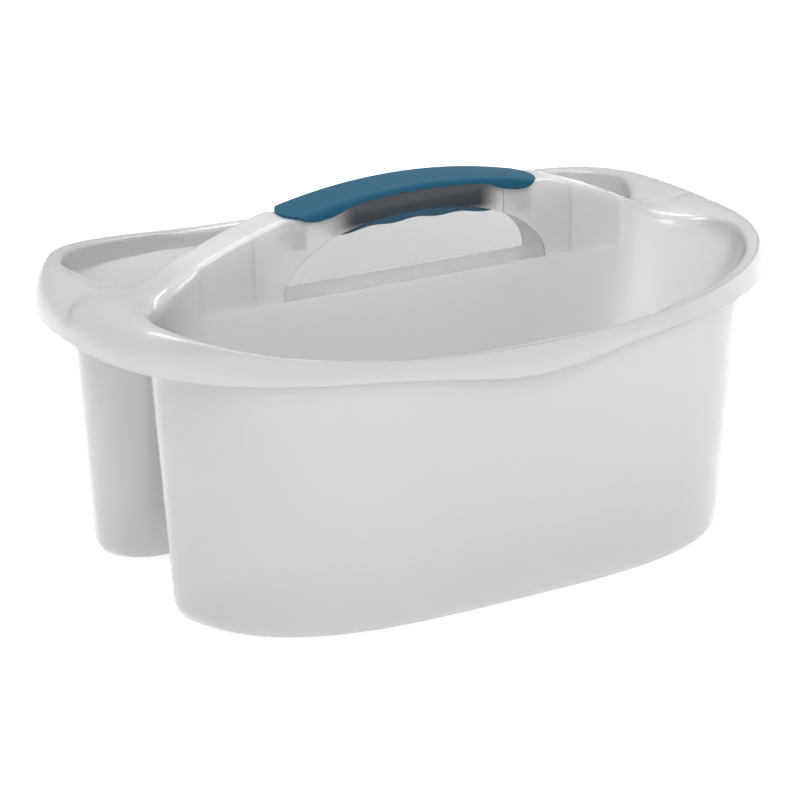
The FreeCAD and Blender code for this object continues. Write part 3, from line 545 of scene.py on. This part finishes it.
def close_edit(piece):
    """Write the mesh back and leave edit mode."""
    bmesh.update_edit_mesh(piece.data)
    bpy.ops.object.mode_set(mode="OBJECT")


def joined(parts):
    """Several pieces as one, the first of them."""
    only(parts[0])
    for part in parts[1:]:
        part.select_set(True)
    bpy.ops.object.join()
    return parts[0]


def settle(piece):
    """Put a piece's place into its mesh, with its object at the origin."""
    only(piece)
    bpy.ops.object.transform_apply(location=True, rotation=True, scale=True)


def apply_modifier(piece, kind, settings):
    """Add a modifier, set it up and apply it."""
    only(piece)
    modifier = piece.modifiers.new(kind.title(), kind)
    for key, value in settings.items():
        setattr(modifier, key, value)
    bpy.ops.object.modifier_apply(modifier=modifier.name)


def start_ring(name, points):
    """An open ring through points, made from a circle; each vertex keeps its column's number."""
    deselect()
    bpy.ops.mesh.primitive_circle_add(vertices=len(points), radius=0.1)
    piece = bpy.context.object
    piece.name = piece.data.name = name
    mesh = edit(piece)
    column = mesh.verts.layers.int.new("column")
    for number, vertex in enumerate(mesh.verts):
        vertex[column] = number
        vertex.co = points[number]
    bpy.ops.mesh.select_mode(type="EDGE")
    bpy.ops.mesh.select_all(action="SELECT")
    return piece


def grow_ring(piece, points, columns=None):
    """Extrude the selected edges, or those of a range of columns, and put them in new places."""
    mesh = bmesh.from_edit_mesh(piece.data)
    column = mesh.verts.layers.int["column"]
    if columns:
        for edge in mesh.edges:
            ends = [vertex[column] for vertex in edge.verts]
            if edge.select and not all(columns[0] <= end <= columns[1] for end in ends):
                edge.select_set(False)
        bmesh.update_edit_mesh(piece.data)
    bpy.ops.mesh.extrude_edges_move()
    mesh = bmesh.from_edit_mesh(piece.data)
    column = mesh.verts.layers.int["column"]
    for vertex in mesh.verts:
        if vertex.select:
            vertex.co = points[vertex[column]]
    bmesh.update_edit_mesh(piece.data)


def fill_floor(piece, count, height):
    """Close the floor's innermost ring with strips from its straight side to its bowed side."""
    mesh = bmesh.from_edit_mesh(piece.data)
    column = mesh.verts.layers.int["column"]
    bpy.ops.mesh.select_all(action="DESELECT")
    left_end = count - CORNER_STEPS // 2 - 1
    right_end = left_end - count // 2
    left_open = {left_end, left_end - 1}, {right_end, right_end - 1}
    for edge in mesh.edges:
        ends = {vertex[column] for vertex in edge.verts}
        low = max(vertex.co.z for vertex in edge.verts) <= height
        if edge.is_boundary and low and ends not in left_open:
            edge.select_set(True)
    bmesh.update_edit_mesh(piece.data)
    bpy.ops.mesh.bridge_edge_loops()


def wall_sheet(tub):
    """The inside and top of the far half of the tub, as one sheet without thickness."""
    rings = lower_rings(tub)
    wall, over, skirt, rim = upper_rings(tub, rings[-1])
    piece = start_ring("tub_shell", rings[0])
    for ring in [*rings[1:], *wall, *over]:
        grow_ring(piece, ring)
    for number, ring in enumerate(skirt):
        grow_ring(piece, ring, rim if number == 0 else None)
    fill_floor(piece, len(rings[0]), tub.foot_round)
    bpy.ops.mesh.select_all(action="SELECT")
    bpy.ops.mesh.normals_make_consistent(inside=False)
    mesh = bmesh.from_edit_mesh(piece.data)
    lowest = min(mesh.faces, key=lambda face: face.calc_center_median().z)
    if lowest.normal.z < 0:
        bpy.ops.mesh.flip_normals()
    close_edit(piece)
    return piece


def block(name, low, high):
    """A box between two corners."""
    deselect()
    middle = [(a + b) / 2 for a, b in zip(low, high)]
    sides = [b - a for a, b in zip(low, high)]
    bpy.ops.mesh.primitive_cube_add(size=1, location=middle, scale=sides)
    piece = bpy.context.object
    piece.name = piece.data.name = name
    settle(piece)
    return piece


def pin(radius, middle, height):
    """An upright round pin."""
    deselect()
    bpy.ops.mesh.primitive_cylinder_add(vertices=32, radius=radius, depth=height, location=middle)
    piece = bpy.context.object
    settle(piece)
    return piece


def hand_cutter(tub):
    """A half oval through the handle, flat along the ledge."""
    through = 60 * MM
    ledge = (0, 0, tub.ledge_height)
    deselect()
    bpy.ops.mesh.primitive_cylinder_add(
        vertices=128, radius=1, depth=through, location=ledge, rotation=(math.pi / 2, 0, 0),
        scale=(tub.hand_half_length, tub.hand_rise, 1),
    )
    piece = bpy.context.object
    settle(piece)
    edit(piece)
    bpy.ops.mesh.select_all(action="SELECT")
    bpy.ops.mesh.bisect(plane_co=ledge, plane_no=(0, 0, 1), clear_inner=True, use_fill=True)
    bpy.ops.mesh.select_all(action="SELECT")
    bpy.ops.mesh.normals_make_consistent(inside=False)
    close_edit(piece)
    return piece


def combine(piece, others, operation):
    """Add the others to a piece, or take their space out of it, and remove them."""
    for other in others:
        settings = {"operation": operation, "solver": "EXACT", "object": other}
        apply_modifier(piece, "BOOLEAN", settings)
        bpy.data.objects.remove(other)


def round_edges(piece, width, segments, degrees):
    """Round the edges that are sharper than an angle."""
    apply_modifier(piece, "BEVEL", {
        "width": width, "segments": segments,
        "limit_method": "ANGLE", "angle_limit": math.radians(degrees),
    })


def smooth(piece, degrees):
    """Weld slivers away, then shade smooth across all but the sharp edges."""
    sliver = 0.01 * MM
    edit(piece)
    bpy.ops.mesh.select_all(action="SELECT")
    bpy.ops.mesh.remove_doubles(threshold=sliver)
    bpy.ops.mesh.dissolve_degenerate(threshold=sliver)
    close_edit(piece)
    only(piece)
    bpy.ops.object.shade_smooth_by_angle(angle=math.radians(degrees))


def handle_ribs(tub):
    """The two upright ribs between the handle's walls, from the ledge up to its roof."""
    sunk_in_wall, sunk_in_roof = 0.5 * MM, 0.3 * MM
    reach = tub.channel_top - tub.wall + sunk_in_wall
    roof = handle_height(tub, tub.rib_place) - tub.wall + sunk_in_roof
    ribs = []
    for side in (-1, 1):
        x = side * tub.rib_place
        low = (x - tub.rib_wall / 2, -reach, tub.ledge_height)
        ribs.append(block("rib", low, (x + tub.rib_wall / 2, reach, roof)))
    return ribs


def grip_cutters(tub, grip):
    """Slots for the snap legs, holes for the posts and the shallow recesses below the grip."""
    gap = 0.3 * MM
    slot_low, slot_high = 186 * MM, 212 * MM
    hole_middle, hole_depth = 203 * MM, 20 * MM
    recess_low, recess_high, recess_out = 172 * MM, 202.6 * MM, 5 * MM
    cutters = []
    for side_x in (-1, 1):
        for side_y in (-1, 1):
            x, y = side_x * grip.leg_place, side_y * grip.leg_spacing
            dx, dy = grip.leg_length / 2 + gap, grip.leg_width / 2 + gap
            low, high = (x - dx, y - dy, slot_low), (x + dx, y + dy, slot_high)
            cutters.append(block("leg_slot", low, high))
        middle = (side_x * grip.post_place, 0, hole_middle)
        cutters.append(pin(grip.post_radius + gap, middle, hole_depth))
    face = tub.channel_top - tub.recess_depth
    reach = tub.recess_half_length
    for side_y in (-1, 1):
        inner, outer = sorted((side_y * face, side_y * (face + recess_out)))
        low, high = (-reach, inner, recess_low), (reach, outer, recess_high)
        cutters.append(block("recess", low, high))
    return cutters


class CADDY_OT_tub(bpy.types.Operator):
    """Model the tub: two compartments, the arched rim, the divider and the hollow handle"""

    bl_idname = "caddy.tub"
    bl_label = "Tub"

    def execute(self, context):
        tub, grip = context.scene.caddy_tub, context.scene.caddy_grip
        piece = wall_sheet(tub)
        apply_modifier(piece, "MIRROR", {
            "use_axis": (False, True, False),
            "use_mirror_merge": True,
            "merge_threshold": 0.05 * MM,
        })
        apply_modifier(piece, "SUBSURF", {"levels": 1, "render_levels": 1})
        apply_modifier(piece, "SOLIDIFY", {
            "thickness": tub.wall,
            "offset": -1,
            "use_even_offset": True,
            "use_quality_normals": True,
        })
        combine(piece, [joined(handle_ribs(tub))], "UNION")
        combine(piece, [hand_cutter(tub), joined(grip_cutters(tub, grip))], "DIFFERENCE")
        smooth(piece, 32)
        piece.data.materials.clear()
        piece.data.materials.append(frosted_plastic(context.scene.caddy_finishes, tub))
        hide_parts("tub")
        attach(piece, "root")
        return {"FINISHED"}


# ---------------------------------------------------------------- the grip


def cover_depth(grip, x):
    """How far the cover's side comes down at a place along it."""
    x = abs(x)
    share = eased((x - grip.tab_start) / (grip.tab_full - grip.tab_start))
    deep = mix(grip.cover_skirt, grip.cover_tab, share)
    start = grip.cover_half_length - grip.tab_round
    if x <= start:
        return deep
    least = 1.2 * MM
    share = (x - start) / grip.tab_round
    return least + (deep - least) * math.sqrt(max(0, 1 - share**2))


def cover_section(grip, depth, share):
    """A point across the cover, from one lower edge at -1 to the other at 1: y and the drop."""
    radius, half = grip.cover_round, grip.cover_half_width
    flat, turn = half - radius, radius * math.pi / 2
    drop = depth - grip.cover_crown
    if drop < radius:
        travel = flat + radius * math.acos(1 - drop / radius)
    else:
        travel = flat + turn + drop - radius
    along = abs(share) * travel
    if along <= flat:
        y, z = along, grip.cover_crown * (along / flat) ** 2
    elif along <= flat + turn:
        angle = (along - flat) / radius
        y, z = flat + radius * math.sin(angle), grip.cover_crown + radius * (1 - math.cos(angle))
    else:
        y, z = half, grip.cover_crown + radius + along - flat - turn
    return math.copysign(y, share), z


class CADDY_OT_cover(bpy.types.Operator):
    """Model the soft grip cover with its tabs and snap legs"""

    bl_idname = "caddy.cover"
    bl_label = "Grip cover"

    def execute(self, context):
        tub, grip = context.scene.caddy_tub, context.scene.caddy_grip
        crowding = 0.35
        deselect()
        bpy.ops.mesh.primitive_grid_add(x_subdivisions=72, y_subdivisions=20, size=2)
        piece = bpy.context.object
        piece.name = piece.data.name = "grip_cover_shell"
        mesh = edit(piece)
        for vertex in mesh.verts:
            place = mix(vertex.co.x, math.sin(vertex.co.x * math.pi / 2), crowding)
            x = place * grip.cover_half_length
            y, drop = cover_section(grip, cover_depth(grip, x), vertex.co.y)
            x -= place * grip.cover_bow * (y / grip.cover_half_width) ** 2
            vertex.co = (x, y, handle_height(tub, x) - drop)
        close_edit(piece)
        apply_modifier(piece, "SOLIDIFY", {
            "thickness": grip.cover_wall, "offset": -1, "use_even_offset": True,
        })
        round_edges(piece, 0.45 * MM, 2, 50)
        apply_modifier(piece, "SUBSURF", {"levels": 1, "render_levels": 1})
        legs = [snap_leg(tub, grip, side_x, side_y) for side_x in (-1, 1) for side_y in (-1, 1)]
        joined([piece, *legs])
        smooth(piece, 40)
        piece.data.materials.clear()
        piece.data.materials.append(soft_grip(context.scene.caddy_finishes))
        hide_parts("grip_cover")
        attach(piece, "root")
        return {"FINISHED"}


def snap_leg(tub, grip, side_x, side_y):
    """One leg that hangs from the cover, with a barb on its outer face."""
    into_cover, under_roof = 1.4 * MM, 4.6 * MM
    x, y = side_x * grip.leg_place, side_y * grip.leg_spacing
    dx, dy = grip.leg_length / 2, grip.leg_width / 2
    top = handle_height(tub, x + side_x * dx)
    barb_top, barb_low = top - under_roof, top - under_roof - 2 * grip.leg_barb
    leg = block("snap_leg", (x - dx, y - dy, grip.leg_low), (x + dx, y + dy, top - into_cover))
    edit(leg)
    bpy.ops.mesh.select_all(action="SELECT")
    for height in (barb_top, barb_low):
        bpy.ops.mesh.bisect(plane_co=(0, 0, height), plane_no=(0, 0, 1))
        bpy.ops.mesh.select_all(action="SELECT")
    bpy.ops.mesh.select_all(action="DESELECT")
    mesh = bmesh.from_edit_mesh(leg.data)
    for face in mesh.faces:
        middle = face.calc_center_median()
        outer = face.normal.y * side_y > 0.9
        if outer and barb_low < middle.z < barb_top:
            face.select_set(True)
    outwards = {"value": (0, side_y * grip.leg_barb, 0)}
    bpy.ops.mesh.extrude_region_move(TRANSFORM_OT_translate=outwards)
    close_edit(leg)
    round_edges(leg, 0.25 * MM, 2, 30)
    return leg


def insert_underside(grip, x):
    """Height of the scalloped underside."""
    wave = grip.finger_depth * math.cos(2 * math.pi * x / grip.finger_pitch)
    return grip.insert_low - grip.insert_drop * (x / grip.insert_half_length) ** 2 + wave


def insert_post(tub, grip, side_x):
    """One post, from inside the insert's floor up to just under the cover."""
    into_floor, under_cover = 1.2 * MM, 2.3 * MM
    x = side_x * grip.post_place
    low = insert_underside(grip, x) + into_floor
    high = handle_height(tub, x + side_x * grip.post_radius) - under_cover
    post = pin(grip.post_radius, (x, 0, (low + high) / 2), high - low)
    round_edges(post, 0.4 * MM, 2, 30)
    return post


class CADDY_OT_insert(bpy.types.Operator):
    """Model the finger insert: a trough with a scalloped underside and two posts"""

    bl_idname = "caddy.insert"
    bl_label = "Finger insert"

    def execute(self, context):
        tub, grip = context.scene.caddy_tub, context.scene.caddy_grip
        half, side = grip.insert_half_length, grip.insert_half_width
        below_top = 4.7 * MM
        piece = block("finger_insert", (-half, -side, 0), (half, side, 1))
        mesh = edit(piece)
        bpy.ops.mesh.select_mode(type="EDGE")
        # The cells are squeezed so that the end cells are wider than the wall.
        for edge in mesh.edges:
            if abs(edge.verts[0].co.x - edge.verts[1].co.x) > half:
                edge.select_set(True)
        cuts = 35
        spacing = 2 * half / (cuts + 1)
        squeeze = (half - 2 * grip.insert_wall) / (half - spacing)
        bpy.ops.mesh.subdivide(number_cuts=cuts)
        mesh = bmesh.from_edit_mesh(piece.data)
        for vertex in mesh.verts:
            if abs(vertex.co.x) < half - spacing / 2:
                vertex.co.x *= squeeze
            x = vertex.co.x
            on_top = vertex.co.z > 0.5
            top, low = handle_height(tub, x) - below_top, insert_underside(grip, x)
            vertex.co.z = top if on_top else low
        bpy.ops.mesh.select_mode(type="FACE")
        bpy.ops.mesh.select_all(action="DESELECT")
        for face in mesh.faces:
            if face.normal.z > 0.5:
                face.select_set(True)
        bpy.ops.mesh.inset(thickness=grip.insert_wall)
        bpy.ops.mesh.extrude_region_move()
        mesh = bmesh.from_edit_mesh(piece.data)
        for vertex in mesh.verts:
            if vertex.select:
                vertex.co.z = insert_underside(grip, vertex.co.x) + grip.insert_wall
        close_edit(piece)
        round_edges(piece, 1.1 * MM, 3, 50)
        posts = [insert_post(tub, grip, side_x) for side_x in (-1, 1)]
        joined([piece, *posts])
        smooth(piece, 40)
        piece.data.materials.clear()
        piece.data.materials.append(insert_plastic(context.scene.caddy_finishes))
        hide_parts("finger_grip")
        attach(piece, "root")
        return {"FINISHED"}


# ---------------------------------------------------------------- finishes


class Value:
    """A socket that takes part in sums: each operation adds its Math node."""

    def __init__(self, finish, socket):
        self.finish = finish
        self.socket = socket

    def math(self, operation, first, second):
        return self.finish.add("ShaderNodeMath", {"operation": operation}, {0: first, 1: second})

    def __radd__(self, other):
        return self.math("ADD", other, self)

    def __rsub__(self, other):
        return self.math("SUBTRACT", other, self)

    def __mul__(self, other):
        return self.math("MULTIPLY", self, other)

    def __abs__(self):
        return self.math("ABSOLUTE", self, 0)


class Finish:
    """A material under construction."""

    def __init__(self, name):
        self.material = bpy.data.materials.new(name)
        self.material.use_nodes = True
        self.nodes = self.material.node_tree.nodes
        self.links = self.material.node_tree.links
        self.nodes.clear()

    def add(self, kind, settings=None, inputs=None, output=0):
        """Add a node, set it up, then feed its sockets with values or links."""
        node = self.nodes.new(kind)
        for key, value in (settings or {}).items():
            setattr(node, key, value)
        for key, value in (inputs or {}).items():
            if isinstance(value, Value):
                self.links.new(value.socket, node.inputs[key])
            else:
                node.inputs[key].default_value = value
        return Value(self, node.outputs[output]) if node.outputs else node

    def place(self):
        """Where a point is on the piece, in metres."""
        return self.add("ShaderNodeTexCoord", output="Object")

    def distance_along(self, axis):
        """How far a point is from the middle along an axis, X, Y or Z."""
        return abs(self.add("ShaderNodeSeparateXYZ", None, {"Vector": self.place()}, axis))

    def ramp(self, value, start, end):
        """A smooth step from 0 at start to 1 at end."""
        return self.add(
            "ShaderNodeMapRange", {"interpolation_type": "SMOOTHSTEP"},
            {"Value": value, "From Min": start, "From Max": end},
        )

    def noise(self, scale, detail):
        """Cloudy noise, from 0 to 1."""
        inputs = {"Vector": self.place(), "Scale": scale, "Detail": detail}
        return self.add("ShaderNodeTexNoise", None, inputs)

    def blend(self, share, first, second):
        """A colour between two colours."""
        node = self.nodes.new("ShaderNodeMix")
        node.data_type = "RGBA"
        self.links.new(share.socket, node.inputs["Factor"])
        for key, value in ((6, first), (7, second)):
            if isinstance(value, Value):
                self.links.new(value.socket, node.inputs[key])
            else:
                node.inputs[key].default_value = (*value, 1)
        return Value(self, node.outputs[2])

    def clouded(self, cloud, tone, spread):
        """A colour that is a little paler where the cloud is bright."""
        return self.blend(cloud, tinted(tone, 1 - spread), tinted(tone, 1 + spread))

    def bump(self, height, distance, strength=1, normal=None):
        """A normal that a height bends, over another normal if one is given."""
        inputs = {"Height": height, "Distance": distance, "Strength": strength}
        if normal:
            inputs["Normal"] = normal
        return self.add("ShaderNodeBump", None, inputs)

    def close(self, inputs):
        """Finish the material with one shader."""
        shader = self.add("ShaderNodeBsdfPrincipled", None, inputs)
        self.add("ShaderNodeOutputMaterial", None, {"Surface": shader})
        return self.material


def tinted(tone, factor):
    """A colour made paler or darker."""
    return [min(1, channel * factor) for channel in tone]


def frosted_plastic(finishes, tub):
    """Natural translucent plastic: glossy, a little cloudy, with painted light near the divider,
    painted shade on the panels and painted shade where the insert is behind it.
    """
    finish = Finish("Frosted tub plastic")
    cloud = finish.noise(9, 3)
    grain = finish.noise(1400, 2)
    ripple = finish.noise(38, 1)
    along, across, height = (finish.distance_along(axis) for axis in "XYZ")
    tone = finish.clouded(cloud, finishes.tub_colour, 0.02)
    edge = 0.6 * MM
    divider_full = tub.panel_half_length - 10 * MM
    divider_end = tub.neck_half_length - 14 * MM
    shade_low, shade_full = 181 * MM, 187 * MM
    # Painted shade: where the set-in panels are, above the ledge.
    panel = (
        (1 - finish.ramp(along, tub.panel_half_length - edge, tub.panel_half_length + edge))
        * finish.ramp(across, tub.channel_top - 3 * edge, tub.channel_top - edge)
        * (1 - finish.ramp(across, tub.channel_top + edge, tub.channel_top + 2 * edge))
        * finish.ramp(height, tub.ledge_height - edge, tub.ledge_height + edge)
    )
    # Painted light: near the divider's walls and on the handle.
    divider = (
        (1 - finish.ramp(across, tub.channel_low + tub.wall, 2 * tub.channel_low))
        * (1 - finish.ramp(along, divider_full, divider_end))
    )
    tone = finish.blend(divider, tone, finishes.divider_painted_light)
    tone = finish.blend(panel, tone, finishes.panel_painted_shade)
    # Painted shade: below the grip, where the insert sits behind the wall under the cover.
    insert = (
        (1 - finish.ramp(along, 0.7 * tub.recess_half_length, tub.recess_half_length))
        * finish.ramp(height, shade_low, shade_full)
        * (1 - finish.ramp(across, tub.channel_top, tub.channel_top + edge))
    )
    tone = finish.blend(insert, tone, finishes.shade_colour)
    skin = finish.bump(grain, 0.008 * MM)
    skin = finish.bump(ripple, 0.5 * MM, 0.25, skin)
    return finish.close({
        "Base Color": tone,
        "Roughness": finishes.tub_frost - 0.04 + cloud * 0.08,
        "Normal": skin,
        "IOR": 1.49,
        "Transmission Weight": finishes.tub_clarity,
        "Coat Weight": 0.6,
        "Coat Roughness": 0.05,
        "Coat IOR": 1.5,
    })


def soft_grip(finishes):
    """Soft-touch rubber: matt, with a very fine grain and slightly paler where it is worn."""
    finish = Finish("Soft grip rubber")
    cloud = finish.noise(55, 4)
    grain = finish.noise(2600, 2)
    tone = finish.clouded(cloud, finishes.cover_colour, 0.1)
    return finish.close({
        "Base Color": tone,
        "Roughness": 0.52 + cloud * 0.12,
        "Normal": finish.bump(grain, 0.03 * MM, 0.8),
        "IOR": 1.5,
        "Specular IOR Level": 0.2,
    })


def insert_plastic(finishes):
    """The insert's plastic: the same blue, a little darker and smoother."""
    finish = Finish("Finger insert plastic")
    cloud = finish.noise(70, 3)
    grain = finish.noise(1900, 2)
    tone = finish.clouded(cloud, finishes.insert_colour, 0.08)
    return finish.close({
        "Base Color": tone,
        "Roughness": 0.42 + cloud * 0.1,
        "Normal": finish.bump(grain, 0.02 * MM, 0.6),
        "IOR": 1.5,
    })


# ---------------------------------------------------------------- stage


def floor_paper():
    """Bright paper that stays almost white under the caddy."""
    finish = Finish("White paper floor")
    fibre = finish.noise(400, 3)
    tone = finish.blend(fibre, (0.84, 0.84, 0.84), (0.87, 0.87, 0.87))
    return finish.close({
        "Base Color": tone,
        "Roughness": 0.9,
        "Specular IOR Level": 0.1,
        "Emission Color": (1, 1, 1, 1),
        "Emission Strength": 0.5,
    })


def soft_light(name, place, target, size, energy):
    """A square light that faces a point."""
    deselect()
    bpy.ops.object.light_add(type="AREA", location=place)
    light = bpy.context.object
    light.name = name
    light.data.shape = "RECTANGLE"
    light.data.size, light.data.size_y = size
    light.data.energy = energy
    light.rotation_euler = (Vector(target) - Vector(place)).to_track_quat("-Z", "Y").to_euler()


class CADDY_OT_stage(bpy.types.Operator):
    """Set up the floor, the light and the camera"""

    bl_idname = "caddy.stage"
    bl_label = "Stage"

    def execute(self, context):
        stage = context.scene.caddy_stage
        deselect()
        bpy.ops.mesh.primitive_plane_add(size=12, location=(0, 0, 0))
        floor = bpy.context.object
        floor.name = "floor"
        floor.data.materials.append(floor_paper())
        world = bpy.data.worlds.new("Daylight")
        world.use_nodes = True
        nodes, links = world.node_tree.nodes, world.node_tree.links
        nodes.clear()
        path = nodes.new("ShaderNodeLightPath")
        both, out = nodes.new("ShaderNodeMixShader"), nodes.new("ShaderNodeOutputWorld")
        # The room lights the caddy, and the camera sees plain white behind it.
        room, seen = ((0.97, 0.985, 1, 1), stage.daylight), ((1, 1, 1, 1), 1)
        for index, (tone, strength) in enumerate((room, seen), 1):
            sky = nodes.new("ShaderNodeBackground")
            sky.inputs["Color"].default_value = tone
            sky.inputs["Strength"].default_value = strength
            links.new(sky.outputs[0], both.inputs[index])
        links.new(path.outputs["Is Camera Ray"], both.inputs[0])
        links.new(both.outputs[0], out.inputs["Surface"])
        context.scene.world = world
        soft_light("key_light", (-0.9, 0.35, 1.3), (0, 0, 0.12), (0.5, 0.35), 7)
        soft_light("strip_light", (0.75, 0.6, 1.4), (0.75, 0, 0.12), (2, 0.14), 14)
        soft_light("fill_light", (-0.3, -1.4, 1.4), (0, 0, 0.12), (1.2, 1.2), 24)
        azimuth, elevation = stage.azimuth, stage.elevation
        back = Vector((
            math.sin(azimuth) * math.cos(elevation),
            -math.cos(azimuth) * math.cos(elevation),
            math.sin(elevation),
        ))
        deselect()
        bpy.ops.object.camera_add(location=Vector(stage.target) + back * stage.distance)
        camera = bpy.context.object
        camera.rotation_euler = (-back).to_track_quat("-Z", "Y").to_euler()
        camera.data.lens = stage.lens
        camera.data.sensor_width = 36
        context.scene.camera = camera
        context.scene.view_settings.view_transform = "Standard"
        return {"FINISHED"}


class CADDY_PT_panel(bpy.types.Panel):
    """The caddy's sizes and pieces in the sidebar"""

    bl_label = "Cleaning caddy"
    bl_space_type = "VIEW_3D"
    bl_region_type = "UI"
    bl_category = "Caddy"

    def draw(self, context):
        for operator in OPERATORS:
            self.layout.operator(operator.bl_idname)
        for name in GROUPS:
            group = getattr(context.scene, name)
            for key in group.bl_rna.properties.keys():
                if key not in ("rna_type", "name"):
                    self.layout.prop(group, key, text=key.replace("_", " ").capitalize())


GROUPS = {
    "caddy_tub": CaddyTubSizes,
    "caddy_grip": CaddyGripSizes,
    "caddy_finishes": CaddyFinishes,
    "caddy_stage": CaddyStageSettings,
}
OPERATORS = (CADDY_OT_stage, CADDY_OT_tub, CADDY_OT_cover, CADDY_OT_insert)


def register():
    for item in (*GROUPS.values(), *OPERATORS, CADDY_PT_panel):
        bpy.utils.register_class(item)
    for name, group in GROUPS.items():
        setattr(bpy.types.Scene, name, PointerProperty(type=group))


def unregister():
    for name in GROUPS:
        delattr(bpy.types.Scene, name)
    for item in reversed((*GROUPS.values(), *OPERATORS, CADDY_PT_panel)):
        bpy.utils.unregister_class(item)


def main():
    register()
    bpy.ops.caddy.stage()
    bpy.ops.caddy.tub()
    bpy.ops.caddy.cover()
    bpy.ops.caddy.insert()
    deselect()


if __name__ == "__main__":
    main()
